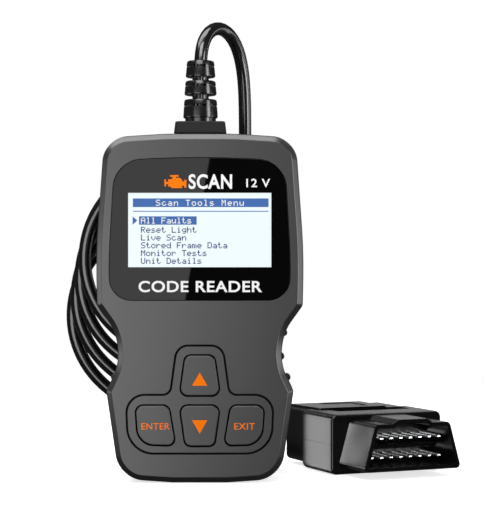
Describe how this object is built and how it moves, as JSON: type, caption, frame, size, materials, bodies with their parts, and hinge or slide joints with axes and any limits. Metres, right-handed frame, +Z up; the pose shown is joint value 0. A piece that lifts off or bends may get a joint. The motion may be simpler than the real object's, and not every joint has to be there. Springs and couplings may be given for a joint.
{
  "type": "obd code reader",
  "caption": "Handheld vehicle code reader with a framed display, arrow and side keys, a tied coil of cord and an on-board diagnostic plug.",
  "frame": {"origin": "middle of the flat lower end that the case stands on", "axes": "+Z up along the case towards the cord, -Y out of the display, +X to the right of the display as it is read"},
  "size_m": [0.1487, 0.1158, 0.1677],
  "materials": {
    "case_front": "satin",
    "case_back": "matte",
    "grip": "matte",
    "lens": "gloss",
    "rating_plate": "satin",
    "bezel": "satin",
    "display": "gloss",
    "backlight": "matte",
    "chip": "matte",
    "keys": "satin",
    "key_mat": "matte",
    "switch": "matte",
    "board": "satin",
    "can": "satin",
    "header": "satin",
    "collar": "satin",
    "boot": "satin",
    "screw": "satin",
    "cord": "gloss",
    "tie": "matte",
    "plug_case": "satin",
    "plug_shroud": "satin",
    "pin": "satin"
  },
  "bodies": {
    "case": {"front_shell": "case_front", "rear_shell": "case_back", "side_grip_left": "grip", "side_grip_right": "grip", "display_lens": "lens", "rating_plate": "rating_plate", "display_bezel": "bezel", "display_glass": "display", "display_backlight": "backlight", "display_connector": "chip", "key_mat": "key_mat", "key_switch_up": "switch", "key_switch_down": "switch", "key_switch_enter": "switch", "key_switch_exit": "switch", "circuit_board": "board", "processor_chip": "chip", "memory_chip": "chip", "bus_transceiver_chip": "chip", "clock_crystal": "can", "voltage_regulator": "chip", "supply_capacitor": "can", "cord_header": "header", "cord_collar": "collar", "strain_relief": "boot", "case_screw_1": "screw", "case_screw_2": "screw", "case_screw_3": "screw", "case_screw_4": "screw", "cord_lead": "cord", "cord_coil": "cord", "cord_tail": "cord", "cord_tie": "tie", "plug_housing_lower": "plug_case", "plug_housing_upper": "plug_case", "plug_shroud": "plug_shroud", "plug_pin_1": "pin", "plug_pin_2": "pin", "plug_pin_3": "pin", "plug_pin_4": "pin", "plug_pin_5": "pin", "plug_pin_6": "pin", "plug_pin_7": "pin", "plug_pin_8": "pin", "plug_pin_9": "pin", "plug_pin_10": "pin", "plug_pin_11": "pin", "plug_pin_12": "pin", "plug_pin_13": "pin", "plug_pin_14": "pin", "plug_pin_15": "pin", "plug_pin_16": "pin", "plug_strain_relief": "boot"},
    "up_button": {"key_up": "keys"},
    "down_button": {"key_down": "keys"},
    "enter_button": {"key_enter": "keys"},
    "exit_button": {"key_exit": "keys"}
  },
  "joints": [
    {"name": "up_press", "type": "slide", "parent": "case", "child": "up_button", "axis": [0, 1, 0], "range_m": [0, 0.0006], "stiffness_N_per_m": 600, "springref_m": -0.0005},
    {"name": "down_press", "type": "slide", "parent": "case", "child": "down_button", "axis": [0, 1, 0], "range_m": [0, 0.0006], "stiffness_N_per_m": 600, "springref_m": -0.0005},
    {"name": "enter_press", "type": "slide", "parent": "case", "child": "enter_button", "axis": [0, 1, 0], "range_m": [0, 0.0006], "stiffness_N_per_m": 600, "springref_m": -0.0005},
    {"name": "exit_press", "type": "slide", "parent": "case", "child": "exit_button", "axis": [0, 1, 0], "range_m": [0, 0.0006], "stiffness_N_per_m": 600, "springref_m": -0.0005}
  ]
}
